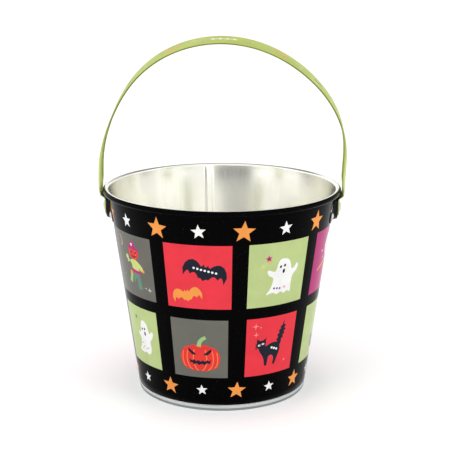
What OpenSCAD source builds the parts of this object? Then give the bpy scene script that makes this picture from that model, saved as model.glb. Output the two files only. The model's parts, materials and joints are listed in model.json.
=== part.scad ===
// Tapered tin pail with a rolled rim and a swinging strap handle.
// Origin: centre of the base, on the surface the pail stands on. +Z is up.
// The handle pivots about a line along X. The front of the pail faces -Y.

/* [Pail] */
// Outside diameter of the rolled rim
rim_d = 165; // [160:0.5:170]
// Outside diameter of the folded seam round the bottom
base_d = 117.8; // [112:0.2:124]
// Height of the pail without its handle
pail_h = 143.5; // [140:0.5:150]
// Thickness of the tinplate sheet
sheet = 0.3; // [0.25:0.05:0.4]
// Diameter of the rolled bead round the rim
bead_d = 3.9; // [3.6:0.1:4.2]
// Height of the folded seam round the bottom
chime_h = 3.4; // [3:0.1:4]
// Height of the base panel above the surface the pail stands on
panel_lift = 2.4; // [2:0.1:2.6]
// Width of the lock seam that joins the ends of the wall sheet
seam_w = 4.5; // [3:0.5:6]
// Direction of the lock seam, turned from +X, near the back
seam_angle = 99; // [92:1:160]

/* [Ears] */
// Height of the handle pivot above the base
pivot_z = 129; // [128:0.5:129]
// Diameter of the round boss on each ear
boss_d = 19; // [18:0.5:19.5]
// Distance from the pail's axis to the outer face of each boss
boss_x = 80.2; // [80:0.1:80.4]
// Thickness of the ear's sheet
ear_t = 0.6; // [0.5:0.1:0.7]
// Width of each ear across its two flanges
ear_w = 37; // [35:0.5:40]
// Height of the ear's flanges
flange_h = 10; // [8:0.5:12]
// Distance from the pivot down to the middle of the flanges
flange_drop = 4; // [3:0.5:6]

/* [Rivets] */
// Diameter of the pivot rivet's shank
pivot_d = 4; // [3.5:0.1:4.5]
// Diameter of the pivot rivet's domed head
pivot_head_d = 8.6; // [7.5:0.2:9]
// Running clearance round the pivot rivet, on the radius
pivot_gap = 0.06; // [0.02:0.01:0.1]
// Diameter of the small rivets that hold the ears
ear_rivet_d = 2.6; // [2:0.1:3]
// Diameter of the small rivets' heads
ear_rivet_head_d = 5; // [4.4:0.1:5.6]

/* [Handle] */
// Width of the strap
strap_w = 21; // [18:0.2:22]
// Distance from the pail's axis to the outer face of the strap's legs
strap_x = 84.4; // [84.2:0.1:86]
// Length of the straight legs above the pivot
leg_h = 29.8; // [26:0.1:34]
// Rise of the arch above the legs, to the outer face
arch_h = 87.7; // [80:0.1:95]
// Sideways set of the bent strap, towards +X at half its height
strap_set = 2.6; // [0:0.1:3]
// Thickness of the strap's sheet
web_t = 0.5; // [0.4:0.05:0.6]
// Thickness of the rolled hem along each edge of the strap
hem_t = 1.3; // [1.1:0.05:1.3]
// Width of each hem
hem_w = 1.8; // [1.4:0.1:2.4]
// Radius of the strap's rounded ends
end_r = 6.5; // [6:0.1:6.8]
// Forward lean of the handle from upright
handle_lean = 7.1; // [0:0.1:30]

/* [Hidden] */
$fn = 96;

rim_r = rim_d / 2;
base_r = base_d / 2;
bead_r = bead_d / 2;
bead_z = pail_h - bead_r;
// The rolled edge stops short of the wall, over this turn of the bead
curl_open_from = 183;
curl_open_to = 225;

// Folded seam: three thicknesses of sheet with a little air between them
fold_gap = 0.15;
lip_r = base_r - sheet - fold_gap;
leg_r = lip_r - sheet - fold_gap - sheet;
// The wall leaves the folded seam at the crimp and flares out to its full taper at the neck
crimp_z = chime_h + 0.2;
neck_z = chime_h + 0.9;
// Raised stiffening ring pressed into the base panel
ring_r = 44;
ring_w = 5;
ring_rise = 0.8;
ring_slope = 1;

seam_t = 0.6;
seam_low = neck_z + 1;
seam_high = bead_z - 2.5;

// Small gap between the ears and the curved wall
ear_gap = 0.03;
ear_rivet_y = 13.6;
ear_rivet_z = pivot_z - flange_drop;
ear_rivet_head_h = 1.1;
ear_rivet_tail_d = ear_rivet_head_d - 0.6;
// The small rivets' shanks run on into their heads by this much
shank_root = 0.2;
tail_h = 0.8;
tail_gap = 0.06;
pivot_head_h = 1.7;
pivot_tail_d = pivot_head_d - 2;
pivot_tail_h = 0.9;
face_gap = 0.15;

// Strap ends: flat tongue at the ear, a joggle outward past the rim, then the legs
tongue_t = 0.9;
tongue_x = boss_x + face_gap + tongue_t;
joggle_low = 7;
joggle_high = 9.3;
shoulder = 16;
hem_start = 3;
apex = leg_h + arch_h;
arch_steps = 72;
leg_steps = 6;
// Reach of tools that cut right through the pail, through the ears, and just past a face
through = 200;
ear_through = 5;
spare = 2;

// Outer radius of the wall at a height
function wall_r(z) = base_r + (rim_r - bead_d + sheet - base_r) * z / bead_z;
wall_tilt = atan((wall_r(bead_z) - base_r) / bead_z);

// Strap's outer face above the shoulders: right leg, arch, left leg, as [x, height above the pivot]
function set_at(s) = strap_set * pow(sin(180 * max(s - shoulder, 0) / (apex - shoulder)), 2);
function face_point(x, s) = [x + set_at(s), s];
function leg(from, side) = [for (i = [0:leg_steps - 1])
    face_point(side * strap_x, from + (leg_h - from) * i / leg_steps)];
function arch() = [for (i = [0:arch_steps])
    let (u = 180 * i / arch_steps) face_point(strap_x * cos(u), leg_h + arch_h * sin(u))];
function reversed(list) = [for (i = [len(list) - 1:-1:0]) list[i]];
function face_line(from) = concat(leg(from, 1), arch(), reversed(leg(from, -1)));

// The same line moved inward by a thickness
function unit(v) = v / norm(v);
function inward(line, i) = let (
    a = line[max(i - 1, 0)],
    b = line[min(i + 1, len(line) - 1)],
    t = unit(b - a)) [-t[1], t[0]];
function moved_in(line, t) = [for (i = [0:len(line) - 1]) line[i] + t * inward(line, i)];
function trimmed(line) = [for (i = [1:len(line) - 2]) line[i]];

// Tongue, joggle and foot of a leg, at a depth below the outer face
function end_line(side, depth) = [
    [side * (tongue_x - depth), -end_r],
    [side * (tongue_x - depth), joggle_low],
    [side * (strap_x - depth), joggle_high],
    [side * (strap_x - depth), shoulder]];

// Everything inside the wall's outer surface, with a margin
module wall_cone(margin) {
    rotate_extrude()
        polygon([[0, 0], [wall_r(0) + margin, 0], [wall_r(pail_h) + margin, pail_h], [0, pail_h]]);
}

// A cylinder along +X, starting at x = from
module x_rod(r, from, to) {
    translate([from, 0, 0]) rotate([0, 90, 0]) cylinder(r = r, h = to - from);
}

// Places its child on the wall's outer surface at an ear rivet, with +Z pointing out of the wall
module at_ear_rivet(side) {
    rotate([0, 0, side * asin(ear_rivet_y / wall_r(ear_rivet_z))])
        translate([wall_r(ear_rivet_z), 0, ear_rivet_z])
            rotate([0, 90 + wall_tilt, 0])
                children();
}

// Domed rivet head standing on the plane z = 0
module dome(d, h) {
    ball_r = (pow(d / 2, 2) + h * h) / (2 * h);
    intersection() {
        translate([0, 0, h - ball_r]) sphere(r = ball_r);
        cylinder(d = d + spare, h = h + spare);
    }
}

module wall_section() {
    polygon([
        [lip_r, sheet], [lip_r, crimp_z], [wall_r(neck_z), neck_z], [wall_r(bead_z), bead_z],
        [wall_r(bead_z) - sheet, bead_z], [wall_r(neck_z) - sheet, neck_z],
        [lip_r - sheet, crimp_z], [lip_r - sheet, sheet]]);
    translate([rim_r - bead_r, bead_z])
        difference() {
            circle(r = bead_r);
            circle(r = bead_r - sheet);
            polygon([[0, 0],
                [bead_d * cos(curl_open_from), bead_d * sin(curl_open_from)],
                [bead_d * cos(curl_open_to), bead_d * sin(curl_open_to)]]);
        }
}

module lock_seam() {
    outer_depth = sheet / 2;
    inner_depth = sheet + seam_t;
    intersection() {
        rotate_extrude()
            polygon([
                [wall_r(seam_low) - outer_depth, seam_low], [wall_r(seam_high) - outer_depth, seam_high],
                [wall_r(seam_high) - inner_depth, seam_high], [wall_r(seam_low) - inner_depth, seam_low]]);
        rotate([0, 0, seam_angle]) translate([0, -seam_w / 2, 0]) cube([rim_r, seam_w, pail_h]);
    }
}

module ear_rivet_holes() {
    for (turn = [0, 180])
        rotate([0, 0, turn])
            for (side = [-1, 1])
                at_ear_rivet(side) cylinder(d = ear_rivet_d, h = 2 * ear_through, center = true);
}

module pail_wall() {
    color([0.06, 0.06, 0.07])
        difference() {
            union() {
                rotate_extrude() wall_section();
                lock_seam();
            }
            ear_rivet_holes();
        }
}

module base_disc() {
    color("silver")
        rotate_extrude()
            polygon([
                [0, panel_lift], [ring_r - ring_w, panel_lift],
                [ring_r - ring_w + ring_slope, panel_lift + ring_rise],
                [ring_r - ring_slope, panel_lift + ring_rise],
                [ring_r, panel_lift], [leg_r, panel_lift], [leg_r, 0], [base_r, 0], [base_r, chime_h],
                [base_r - sheet, chime_h], [base_r - sheet, sheet], [leg_r + sheet, sheet],
                [leg_r + sheet, panel_lift + sheet], [ring_r + sheet / 2, panel_lift + sheet],
                [ring_r - ring_slope + sheet / 2, panel_lift + ring_rise + sheet],
                [ring_r - ring_w + ring_slope - sheet / 2, panel_lift + ring_rise + sheet],
                [ring_r - ring_w - sheet / 2, panel_lift + sheet], [0, panel_lift + sheet]]);
}

// Flanges that follow the wall, with rounded ends
module ear_flanges() {
    intersection() {
        difference() {
            wall_cone(ear_gap + ear_t);
            wall_cone(ear_gap);
        }
        translate([0, 0, ear_rivet_z])
            rotate([90, 0, 90])
                linear_extrude(height = rim_r)
                    union() {
                        square([ear_w - flange_h, flange_h], center = true);
                        for (side = [-1, 1])
                            translate([side * (ear_w - flange_h) / 2, 0]) circle(d = flange_h);
                    }
    }
}

// Pressed ear on the +X side: a round flat-faced boss between two flanges
module ear() {
    difference() {
        union() {
            ear_flanges();
            difference() {
                translate([0, 0, pivot_z]) x_rod(boss_d / 2, base_r, boss_x);
                wall_cone(ear_gap);
            }
        }
        translate([0, 0, pivot_z]) x_rod(boss_d / 2 - ear_t, base_r - spare, boss_x - ear_t);
        translate([0, 0, pivot_z]) x_rod(pivot_d / 2, base_r, boss_x + spare);
        ear_rivet_holes();
    }
}

module left_ear() {
    color([0.06, 0.06, 0.07]) mirror([1, 0, 0]) ear();
}

module right_ear() {
    color([0.06, 0.06, 0.07]) ear();
}

// Two small rivets that hold the +X ear to the wall
module ear_rivets() {
    for (side = [-1, 1])
        at_ear_rivet(side)
            union() {
                translate([0, 0, ear_gap + ear_t]) dome(ear_rivet_head_d, ear_rivet_head_h);
                translate([0, 0, -sheet - tail_gap - tail_h])
                    cylinder(d = ear_rivet_d, h = sheet + tail_gap + tail_h + ear_gap + ear_t + shank_root);
                translate([0, 0, -sheet - tail_gap - tail_h])
                    cylinder(d = ear_rivet_tail_d, h = tail_h);
            }
}

module left_ear_rivets() {
    color("silver") mirror([1, 0, 0]) ear_rivets();
}

module right_ear_rivets() {
    color("silver") ear_rivets();
}

// Pivot rivet on the +X side: domed head outside the strap, flat tail inside the boss
module pivot_rivet() {
    head_x = tongue_x + face_gap;
    translate([0, 0, pivot_z])
        union() {
            x_rod(pivot_d / 2, boss_x - ear_t - pivot_tail_h, head_x + pivot_head_h / 2);
            x_rod(pivot_tail_d / 2, boss_x - ear_t - pivot_tail_h, boss_x - ear_t);
            translate([head_x, 0, 0]) rotate([0, 90, 0]) dome(pivot_head_d, pivot_head_h);
        }
}

module left_pivot_rivet() {
    color("silver") mirror([1, 0, 0]) pivot_rivet();
}

module right_pivot_rivet() {
    color("silver") pivot_rivet();
}

// Extrudes a shape drawn in X and height along the strap's width
module across_strap(y_low, y_high) {
    translate([0, y_high, 0]) rotate([90, 0, 0]) linear_extrude(height = y_high - y_low) children();
}

// The strap's sheet from tongue to tongue, at full width
module strap_sheet() {
    outer = concat(trimmed(end_line(1, 0)), face_line(shoulder), reversed(trimmed(end_line(-1, 0))));
    inner = concat(end_line(1, tongue_t), trimmed(moved_in(face_line(shoulder), web_t)),
        reversed(end_line(-1, tongue_t)));
    across_strap(-strap_w / 2, strap_w / 2)
        polygon(concat([[tongue_x, -end_r]], outer, [[-tongue_x, -end_r]], reversed(inner)));
}

// A rolled hem on the inner side of the sheet
module hem(y_low, y_high) {
    line = face_line(shoulder + hem_start);
    across_strap(y_low, y_high) polygon(concat(moved_in(line, web_t / 2), reversed(moved_in(line, hem_t))));
}

// What is cut away round the tongues, seen along X
module tongue_trim() {
    slope = (shoulder - joggle_high) / (strap_w / 2 - end_r);
    rotate([90, 0, 90])
        linear_extrude(height = 2 * through, center = true) {
            difference() {
                translate([-strap_w / 2 - spare, -end_r - spare])
                    square([strap_w + 2 * spare, end_r + spare]);
                circle(r = end_r);
            }
            for (side = [-1, 1])
                polygon([[side * end_r, -spare], [side * end_r, joggle_high],
                    [side * (strap_w / 2 + spare), shoulder + spare * slope],
                    [side * (strap_w / 2 + spare), -spare]]);
        }
}

module strap_handle() {
    color([0.66, 0.74, 0.36])
        translate([0, 0, pivot_z])
            rotate([handle_lean, 0, 0])
                difference() {
                    union() {
                        strap_sheet();
                        hem(-strap_w / 2, hem_w - strap_w / 2);
                        hem(strap_w / 2 - hem_w, strap_w / 2);
                    }
                    tongue_trim();
                    x_rod(pivot_d / 2 + pivot_gap, -through, through);
                }
}

pail_wall();
base_disc();
left_ear();
right_ear();
left_ear_rivets();
right_ear_rivets();
left_pivot_rivet();
right_pivot_rivet();
strap_handle();
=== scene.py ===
"""Looks of a printed tin pail with a strap handle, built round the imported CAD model.

Lengths are in metres, in the CAD model's frame: origin at the centre of the base, +Z up,
front towards -Y, handle pivots along X. Artwork is drawn in millimetres on the flat sheet
and wrapped round the wall. An azimuth is measured from the front, positive towards +X.
"""
import json
import math

import bmesh
import bpy
import numpy as np
from mathutils import Matrix, Vector
from mathutils.geometry import delaunay_2d_cdt


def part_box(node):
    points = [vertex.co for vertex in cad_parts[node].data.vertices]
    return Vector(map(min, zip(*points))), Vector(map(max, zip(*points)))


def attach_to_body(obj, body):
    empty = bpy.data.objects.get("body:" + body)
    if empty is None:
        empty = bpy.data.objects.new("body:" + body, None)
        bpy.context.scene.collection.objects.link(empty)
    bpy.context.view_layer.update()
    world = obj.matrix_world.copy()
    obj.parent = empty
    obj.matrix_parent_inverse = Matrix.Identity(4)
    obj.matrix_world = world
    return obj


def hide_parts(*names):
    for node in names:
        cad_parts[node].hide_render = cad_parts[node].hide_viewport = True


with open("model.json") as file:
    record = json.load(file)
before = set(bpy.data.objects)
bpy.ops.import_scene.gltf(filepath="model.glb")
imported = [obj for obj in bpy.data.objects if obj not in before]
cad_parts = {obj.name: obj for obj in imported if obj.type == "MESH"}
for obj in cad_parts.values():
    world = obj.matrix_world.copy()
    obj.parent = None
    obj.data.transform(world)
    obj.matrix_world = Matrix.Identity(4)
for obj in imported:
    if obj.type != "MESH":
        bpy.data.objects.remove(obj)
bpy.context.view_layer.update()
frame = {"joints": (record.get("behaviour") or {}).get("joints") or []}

MM = 0.001

# --- sizes from the frame

WALL_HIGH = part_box("pail_wall")[1]
BASE_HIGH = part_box("base_disc")[1]
EAR_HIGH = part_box("right_ear")[1]
PIVOT_Z = frame["joints"][0]["pos_m"][2]

RIM_R = WALL_HIGH.x
PAIL_H = WALL_HIGH.z
BASE_R = BASE_HIGH.x
BOSS_X = EAR_HIGH.x

# --- sizes of the sheet metal

SHEET = 0.3 * MM
BEAD_R = 1.95 * MM
BEAD_Z = PAIL_H - BEAD_R
BEAD_CENTRE_R = RIM_R - BEAD_R
CHIME_H = 3.4 * MM
NECK_Z = CHIME_H + 0.9 * MM
FOLD_GAP = 0.15 * MM
LIP_R = BASE_R - SHEET - FOLD_GAP
LEG_R = LIP_R - 2 * SHEET - FOLD_GAP
PANEL_LIFT = 2.4 * MM
# The outside lacquer ends on the bead's outer flank, this far above the horizontal
LACQUER_EDGE = math.radians(72)
CURL_END = math.radians(225)

SEAM_AZIMUTH = -171.0
SEAM_HALF_W = 2.25 * MM
SEAM_RISE = 0.4 * MM
SEAM_SLOPE = 1.4 * MM
SEAM_GROOVE = 0.12 * MM
BAND_TOP = BEAD_Z - 0.4 * MM
BAND_BOTTOM = NECK_Z


def wall_r(z):
    """Outer radius of the tapered wall at a height."""
    return BASE_R + (RIM_R - 2 * BEAD_R + SHEET - BASE_R) * z / BEAD_Z


WALL_TILT = math.atan((wall_r(BEAD_Z) - BASE_R) / BEAD_Z)


def smoothstep(a, b, x):
    t = min(max((x - a) / (b - a), 0.0), 1.0)
    return t * t * (3 - 2 * t)


def turned(angle, a):
    """An angle in degrees, taken to within half a turn of zero, relative to a."""
    return (angle - a + 180) % 360 - 180


# --- colours and materials


def linear(*rgb):
    """Linear colour of an sRGB colour given in 0 to 255."""
    parts = [c / 255 for c in rgb]
    return tuple(c / 12.92 if c <= 0.04045 else ((c + 0.055) / 1.055) ** 2.4 for c in parts) + (1.0,)


# The room returns this much more light than a chip reflects, so inks are mixed that much weaker
LIGHT_GAIN = 1.24
CHIPS = {
    "black": linear(2, 2, 3),
    "red": linear(235, 61, 74),
    "sage": linear(189, 206, 140),
    "grey": linear(110, 109, 102),
    "magenta": linear(184, 50, 120),
    "orange": linear(246, 158, 78),
    "white": linear(246, 246, 244),
    "navy": linear(32, 38, 50),
    "pumpkin": linear(232, 62, 58),
    "rib": linear(252, 128, 78),
    "stem": linear(160, 196, 128),
    "teal": linear(104, 142, 120),
    "lime": linear(206, 214, 130),
    "pink": linear(244, 176, 168),
    "lilac": linear(120, 92, 138),
    "pale": linear(222, 228, 176),
}
INKS = {name: tuple(c / LIGHT_GAIN for c in chip[:3]) + (1.0,) for name, chip in CHIPS.items()}


def set_inputs(tree, node, inputs):
    """Sets or links a node's inputs, each given by name or number as a constant or a socket."""
    for name, value in inputs.items():
        if isinstance(value, (int, float, tuple)):
            node.inputs[name].default_value = value
        else:
            tree.links.new(value, node.inputs[name])


def add_node(tree, kind, output, inputs, **settings):
    """One output of a new node, made with these inputs and settings."""
    node = tree.nodes.new("ShaderNode" + kind)
    for name, value in settings.items():
        setattr(node, name, value)
    set_inputs(tree, node, inputs)
    return node.outputs[output]


def new_material(name, colour, roughness, metallic=0.0):
    """A Principled material with its node tree cleared of everything else."""
    material = bpy.data.materials.new(name)
    material.use_nodes = True
    material.diffuse_color = colour
    tree = material.node_tree
    tree.nodes.clear()
    shader = tree.nodes.new("ShaderNodeBsdfPrincipled")
    set_inputs(tree, shader, {"Base Color": colour, "Roughness": roughness, "Metallic": metallic})
    set_inputs(tree, tree.nodes.new("ShaderNodeOutputMaterial"), {"Surface": shader.outputs["BSDF"]})
    return material, tree, shader


def place_vector(tree, stretch=(1.0, 1.0, 1.0)):
    """Object coordinates, stretched, as the input of the procedural textures."""
    place = add_node(tree, "TexCoord", "Object", {})
    return add_node(tree, "Mapping", "Vector", {"Vector": place, "Scale": stretch})


def vector_maths(tree, operation, *values):
    return add_node(tree, "VectorMath", "Vector", dict(enumerate(values)), operation=operation)


def polar_vector(tree, up):
    """Coordinates that run round the pail's axis and up it, for grain that follows the wall."""
    place = add_node(tree, "TexCoord", "Object", {})
    around = vector_maths(tree, "NORMALIZE", vector_maths(tree, "MULTIPLY", place, (1, 1, 0)))
    return vector_maths(tree, "ADD", around, vector_maths(tree, "MULTIPLY", place, (0, 0, up)))


def maths(tree, operation, *values):
    return add_node(tree, "Math", "Value", dict(enumerate(values)), operation=operation)


def between(tree, factor, first, second):
    """A number that goes from first to second as factor goes from 0 to 1."""
    return add_node(tree, "Mix", 0, {0: factor, 2: first, 3: second}, data_type="FLOAT")


def blend_colours(tree, factor, first, second):
    return add_node(tree, "Mix", 2, {0: factor, 6: first, 7: second}, data_type="RGBA")


def noise(tree, vector, scale, detail=3.0, rough=0.5):
    inputs = {"Vector": vector, "Scale": scale, "Detail": detail, "Roughness": rough}
    return add_node(tree, "TexNoise", "Fac", inputs)


def ramp(tree, value, low, high, low_at=0.3, high_at=0.7):
    """Goes from low to high as the value goes from low_at to high_at."""
    inputs = {"Value": value, "From Min": low_at, "From Max": high_at, "To Min": low, "To Max": high}
    return add_node(tree, "MapRange", "Result", inputs)


def add_bump(tree, shader, height, distance, strength, after=None):
    """Bumps the shader's surface, on top of an earlier bump if there is one."""
    inputs = {"Strength": strength, "Distance": distance, "Height": height}
    if after is not None:
        inputs["Normal"] = after
    normal = add_node(tree, "Bump", "Normal", inputs)
    set_inputs(tree, shader, {"Normal": normal})
    return normal


def shade(colour, factor):
    return tuple(min(c * factor, 1.0) for c in colour[:3]) + (1.0,)


def ink_material(name, colour, gloss=0.16, specular=0.05):
    """Lithographed lacquer on tin: even colour with a faint mottle, orange peel and tiny rubs."""
    material, tree, shader = new_material("ink_" + name, colour, gloss)
    vector = place_vector(tree)
    mottle = ramp(tree, noise(tree, vector, 90.0, 4.0), 0.0, 1.0)
    mixed = blend_colours(tree, mottle, shade(colour, 0.95), shade(colour, 1.06))
    rubs = ramp(tree, noise(tree, vector, 1400.0, 2.0), 0.0, 0.16, 0.70, 0.80)
    wear_and_painted_shade = blend_colours(tree, rubs, mixed, linear(150, 148, 144))
    smears = ramp(tree, noise(tree, vector, 45.0, 5.0, 0.6), gloss * 0.8, gloss * 1.5)
    set_inputs(tree, shader, {"Base Color": wear_and_painted_shade, "Roughness": smears, "Specular IOR Level": specular})
    add_bump(tree, shader, noise(tree, vector, 900.0, 2.0), 0.012 * MM, 0.5)
    return material


def tin_material(name, colour, rough, turned_grain=False):
    """Bright drawn tinplate: rolling grain, faint stains and fine handling scratches."""
    material, tree, shader = new_material(name, colour, rough, 1.0)
    if turned_grain:
        grain = noise(tree, polar_vector(tree, 0.35), 120.0, 4.0, 0.65)
    else:
        grain = noise(tree, place_vector(tree, (1.0, 0.08, 1.0)), 1500.0, 4.0, 0.65)
    stain = ramp(tree, noise(tree, place_vector(tree), 38.0, 4.0, 0.6), 0.0, 1.0)
    tone = blend_colours(tree, stain, shade(colour, 0.975), shade(colour, 1.015))
    lined = blend_colours(tree, ramp(tree, grain, 0.0, 0.3), tone, shade(colour, 0.88))
    set_inputs(tree, shader, {"Base Color": lined, "Roughness": ramp(tree, grain, rough * 0.8, rough * 1.3)})
    scratch = noise(tree, place_vector(tree, (1.0, 1.0, 0.06)), 2600.0, 2.0)
    first = add_bump(tree, shader, grain, 0.01 * MM, 0.25)
    add_bump(tree, shader, scratch, 0.003 * MM, 0.2, first)
    return material


# Heights between which a strap's leg colour, painted light, gives way to its arch colour, painted shade on
# the hems
LEG_TONE_TO = PIVOT_Z + 30 * MM
ARCH_TONE_FROM = PIVOT_Z + 62 * MM


def handle_material(name, colour, leg_painted_light=None):
    """Semi-gloss green lacquer over folded tin, rubbed along the hems; the optional leg colour paints light
    on its legs, giving way to the main colour over the arch.
    """
    material, tree, shader = new_material(name, colour, 0.3)
    vector = place_vector(tree)
    mottle = ramp(tree, noise(tree, vector, 70.0, 4.0), 0.0, 1.0)
    mixed = blend_colours(tree, mottle, shade(colour, 0.93), shade(colour, 1.07))
    if leg_painted_light:
        height = add_node(tree, "SeparateXYZ", "Z", {"Vector": vector})
        above_leg = ramp(tree, height, 0.0, 1.0, LEG_TONE_TO, ARCH_TONE_FROM)
        mixed = blend_colours(tree, above_leg, leg_painted_light, mixed)
    edge = ramp(tree, add_node(tree, "NewGeometry", "Pointiness", {}), 0.0, 1.0, 0.53, 0.60)
    patch = ramp(tree, noise(tree, vector, 260.0, 5.0, 0.7), 0.0, 1.0, 0.56, 0.70)
    wear_and_painted_shade = blend_colours(tree, maths(tree, "MULTIPLY", edge, patch), mixed, linear(176, 174, 160))
    smears = ramp(tree, noise(tree, vector, 50.0, 5.0), 0.32, 0.5)
    set_inputs(tree, shader, {"Base Color": wear_and_painted_shade, "Roughness": smears, "Specular IOR Level": 0.1})
    add_bump(tree, shader, noise(tree, vector, 700.0, 3.0), 0.02 * MM, 0.5)
    return material


MATERIALS = {name: ink_material(name, colour) for name, colour in INKS.items() if name != "black"}
MATERIALS["black"] = ink_material("black", INKS["black"], 0.12, 0.02)
MATERIALS["tin_inside"] = tin_material("tin_inside", linear(245, 244, 237), 0.17, True)
MATERIALS["tin_base"] = tin_material("tin_base", linear(212, 216, 218), 0.24)
# Darker tin for the bottom of the foot seam, painted shade near the floor
MATERIALS["tin_foot_painted_shade"] = tin_material("tin_foot_painted_shade", linear(146, 151, 152), 0.4)
MATERIALS["rivet_steel"] = tin_material("rivet_steel", linear(206, 204, 198), 0.22)
# Lacquer of the strap's faces and hems: over its arch, and on its legs where that differs. The hems' tone is
# painted shade over the arch and painted light on the legs
HANDLE_TONES = {
    "handle_green": (linear(185, 198, 94), None),
    "handle_inside": (linear(184, 198, 92), None),
    "hem_painted_shade_and_light": (linear(116, 128, 56), linear(226, 236, 152)),
}
for tone_name, tones in HANDLE_TONES.items():
    weakened = [tone and shade(tone, 1 / LIGHT_GAIN) for tone in tones]
    MATERIALS[tone_name] = handle_material(tone_name, *weakened)
MATERIALS["ear_black"] = ink_material("ear_black", linear(10, 10, 11), 0.26, 0.12)


# --- mesh helpers


def make_object(name, verts, faces, materials, face_materials=None, weld=0.0):
    """A smooth mesh object. materials are names in MATERIALS, face_materials an index for each face."""
    mesh = bpy.data.meshes.new(name)
    mesh.from_pydata([tuple(v) for v in verts], [], faces)
    for m in materials:
        mesh.materials.append(MATERIALS[m])
    if face_materials is not None:
        mesh.polygons.foreach_set("material_index", face_materials)
    mesh.polygons.foreach_set("use_smooth", [True] * len(mesh.polygons))
    work = bmesh.new()
    work.from_mesh(mesh)
    if weld:
        bmesh.ops.remove_doubles(work, verts=work.verts, dist=weld)
    bmesh.ops.recalc_face_normals(work, faces=work.faces)
    work.to_mesh(mesh)
    work.free()
    mesh.update()
    obj = bpy.data.objects.new(name, mesh)
    bpy.context.scene.collection.objects.link(obj)
    return obj


def attach(obj, body, slot, *nodes):
    """Says which body a piece rides on and which CAD nodes it stands for; slot is not used."""
    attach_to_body(obj, body)
    if nodes:
        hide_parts(*nodes)
    return obj


def sharpen(obj, degrees):
    """Keeps real corners crisp while the rest shades smoothly."""
    work = bmesh.new()
    work.from_mesh(obj.data)
    limit = math.radians(degrees)
    for edge in work.edges:
        if len(edge.link_faces) == 2 and edge.calc_face_angle(0.0) > limit:
            edge.smooth = False
    work.to_mesh(obj.data)
    work.free()


def arc(centre, radius, start, end, count):
    """Points [(r, z)] along an arc, angles in radians from the outward horizontal."""
    angles = [start + (end - start) * i / count for i in range(count + 1)]
    return [(centre[0] + radius * math.cos(a), centre[1] + radius * math.sin(a)) for a in angles]


def grid_faces(columns, rows, first=0, tube=False):
    """Quads over a grid of points, closed round its columns or, for a tube, round its rows."""
    faces = []
    for k in range(columns - 1 if tube else columns):
        a, b = first + k * rows, first + (k + 1) % columns * rows
        for i in range(rows if tube else rows - 1):
            j = (i + 1) % rows
            faces.append((a + i, b + i, b + j, a + j))
    return faces


def lathe(profile, azimuths, offset=None):
    """Vertices and quads of a profile [(r, z)] turned round +Z at the given azimuths in degrees."""
    verts = []
    for azimuth in azimuths:
        a = math.radians(azimuth)
        for i, (r, z) in enumerate(profile):
            shift = offset(i, azimuth, z) if offset else 0.0
            verts.append(((r + shift) * math.sin(a), -(r + shift) * math.cos(a), z))
    return verts, grid_faces(len(azimuths), len(profile))


def even_azimuths(count):
    return [360 * i / count for i in range(count)]


# --- flat shapes, in millimetres


def ellipse(cx, cy, rx, ry=None, turn=0.0, count=28, start=0.0, end=360.0):
    ry = rx if ry is None else ry
    c, s = math.cos(math.radians(turn)), math.sin(math.radians(turn))
    full = end - start >= 360
    points = []
    for i in range(count if full else count + 1):
        a = math.radians(start + (end - start) * i / count)
        x, y = rx * math.cos(a), ry * math.sin(a)
        points.append((cx + x * c - y * s, cy + x * s + y * c))
    return points


def star(cx, cy, radius, turn=0.0, inner=0.43, points=5):
    outline = []
    for i in range(2 * points):
        a = math.radians(90 + turn + 180 * i / points)
        r = radius if i % 2 == 0 else radius * inner
        outline.append((cx + r * math.cos(a), cy + r * math.sin(a)))
    return outline


def smooth_line(points, closed=True, steps=5):
    """A curve through the points."""
    count = len(points)
    out = []
    for i in range(count if closed else count - 1):
        near = [(i + k) % count if closed else min(max(i + k, 0), count - 1) for k in (-1, 0, 1, 2)]
        for t in (j / steps for j in range(steps)):
            out.append(tuple(
                0.5 * (2 * b + (c - a) * t + (2 * a - 5 * b + 4 * c - d) * t * t
                       + (3 * b - a - 3 * c + d) * t ** 3)
                for a, b, c, d in zip(*(points[k] for k in near))))
    if not closed:
        out.append(points[-1])
    return out


def stroke(points, width, taper=1.0):
    """The outline of a line drawn with a width that changes by taper from start to end."""
    left, right = [], []
    last = len(points) - 1
    for i, (x, y) in enumerate(points):
        a, b = points[max(i - 1, 0)], points[min(i + 1, last)]
        length = math.hypot(b[0] - a[0], b[1] - a[1]) or 1.0
        half = width / 2 * (1 + (taper - 1) * i / last)
        nx, ny = -(b[1] - a[1]) / length * half, (b[0] - a[0]) / length * half
        left.append((x + nx, y + ny))
        right.append((x - nx, y - ny))
    return left + right[::-1]


def inked(ink, *outlines):
    return [(ink, outline) for outline in outlines]


def placed(shapes, dx=0.0, dy=0.0, turn=0.0, size=1.0):
    """Shapes [(ink, outline)] moved, turned or scaled together."""
    c, s = math.cos(math.radians(turn)) * size, math.sin(math.radians(turn)) * size
    return [(ink, [(dx + x * c - y * s, dy + x * s + y * c) for x, y in outline]) for ink, outline in shapes]


def sparkle(cx, cy, size, ink="white"):
    """A small four-pointed twinkle."""
    return (ink, star(cx, cy, size, 0, 0.16, 4))


def mirrored(half):
    """An outline from its right half, given from the top of the middle line to the bottom."""
    return half + [(-x, y) for x, y in reversed(half) if abs(x) > 1e-6]


# --- motifs, in millimetres


def scallop(a, b, depth, count=5):
    """Points between a and b on a hollow curve that rises by depth."""
    return [
        (a[0] + (b[0] - a[0]) * i / count,
         a[1] + (b[1] - a[1]) * i / count + depth * math.sin(math.pi * i / count))
        for i in range(1, count)
    ]


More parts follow.
